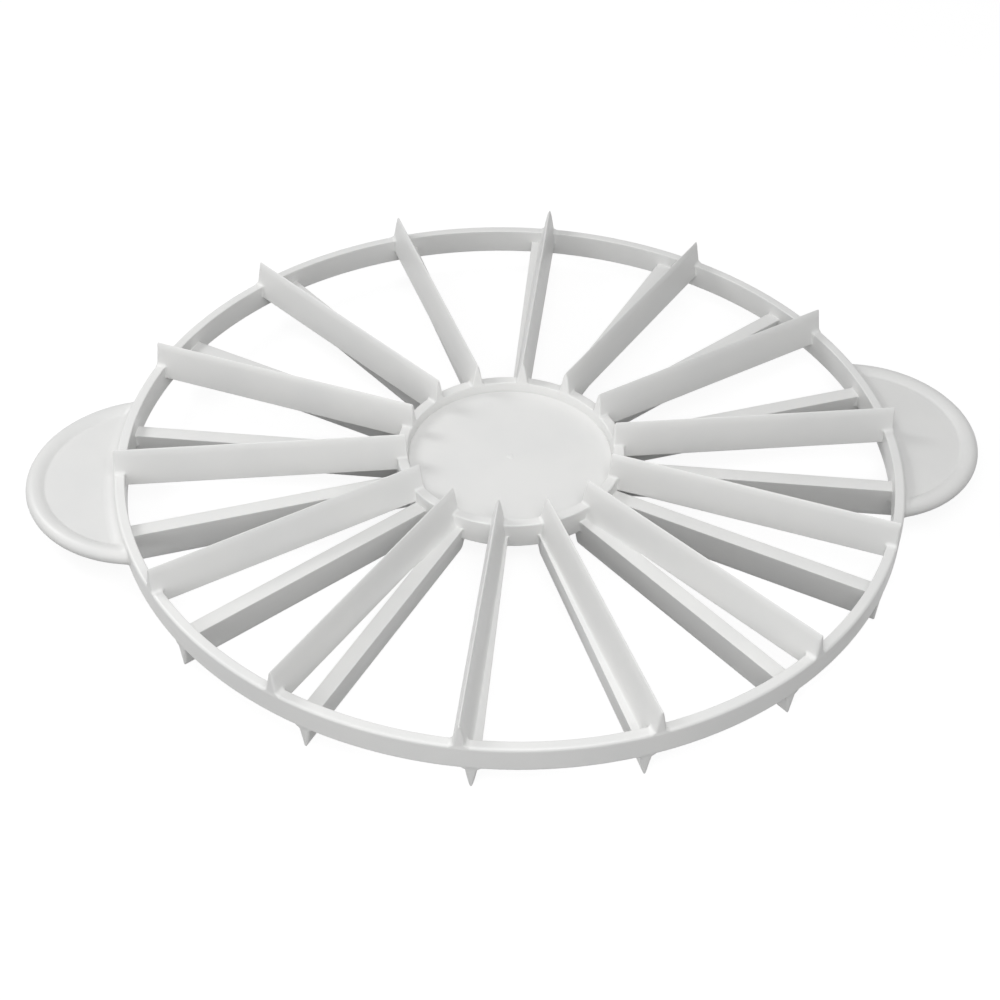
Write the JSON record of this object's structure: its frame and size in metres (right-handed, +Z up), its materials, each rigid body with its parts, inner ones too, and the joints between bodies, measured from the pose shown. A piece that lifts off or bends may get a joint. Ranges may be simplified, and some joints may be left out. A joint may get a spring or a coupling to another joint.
{
  "type": "cake portion marker",
  "caption": "Double-sided wheel with wedge blades between a hub and an outer ring, and two half-round handles, pressed into a round cake to mark equal slices.",
  "frame": {"origin": "centre of the hub on the mid-plane where the upper and lower blades meet, which is the centre of the part's box", "axes": "+X runs through the right handle, +Z is up from the face with sixteen blades to the face with fourteen"},
  "size_m": [0.324, 0.265, 0.0264],
  "materials": {
    "ring_plastic": "satin moulded white plastic",
    "hub_plastic": "satin moulded white plastic",
    "handle_plastic": "satin moulded white plastic",
    "blade_plastic": "satin moulded white plastic"
  },
  "bodies": {
    "root": {"outer_ring": "ring_plastic", "hub_ring": "hub_plastic", "hub_disc": "hub_plastic", "left_handle": "handle_plastic", "right_handle": "handle_plastic", "upper_blade_01": "blade_plastic", "upper_blade_02": "blade_plastic", "upper_blade_03": "blade_plastic", "upper_blade_04": "blade_plastic", "upper_blade_05": "blade_plastic", "upper_blade_06": "blade_plastic", "upper_blade_07": "blade_plastic", "upper_blade_08": "blade_plastic", "upper_blade_09": "blade_plastic", "upper_blade_10": "blade_plastic", "upper_blade_11": "blade_plastic", "upper_blade_12": "blade_plastic", "upper_blade_13": "blade_plastic", "upper_blade_14": "blade_plastic", "lower_blade_01": "blade_plastic", "lower_blade_02": "blade_plastic", "lower_blade_03": "blade_plastic", "lower_blade_04": "blade_plastic", "lower_blade_05": "blade_plastic", "lower_blade_06": "blade_plastic", "lower_blade_07": "blade_plastic", "lower_blade_08": "blade_plastic", "lower_blade_09": "blade_plastic", "lower_blade_10": "blade_plastic", "lower_blade_11": "blade_plastic", "lower_blade_12": "blade_plastic", "lower_blade_13": "blade_plastic", "lower_blade_14": "blade_plastic", "lower_blade_15": "blade_plastic", "lower_blade_16": "blade_plastic"}
  },
  "joints": []
}
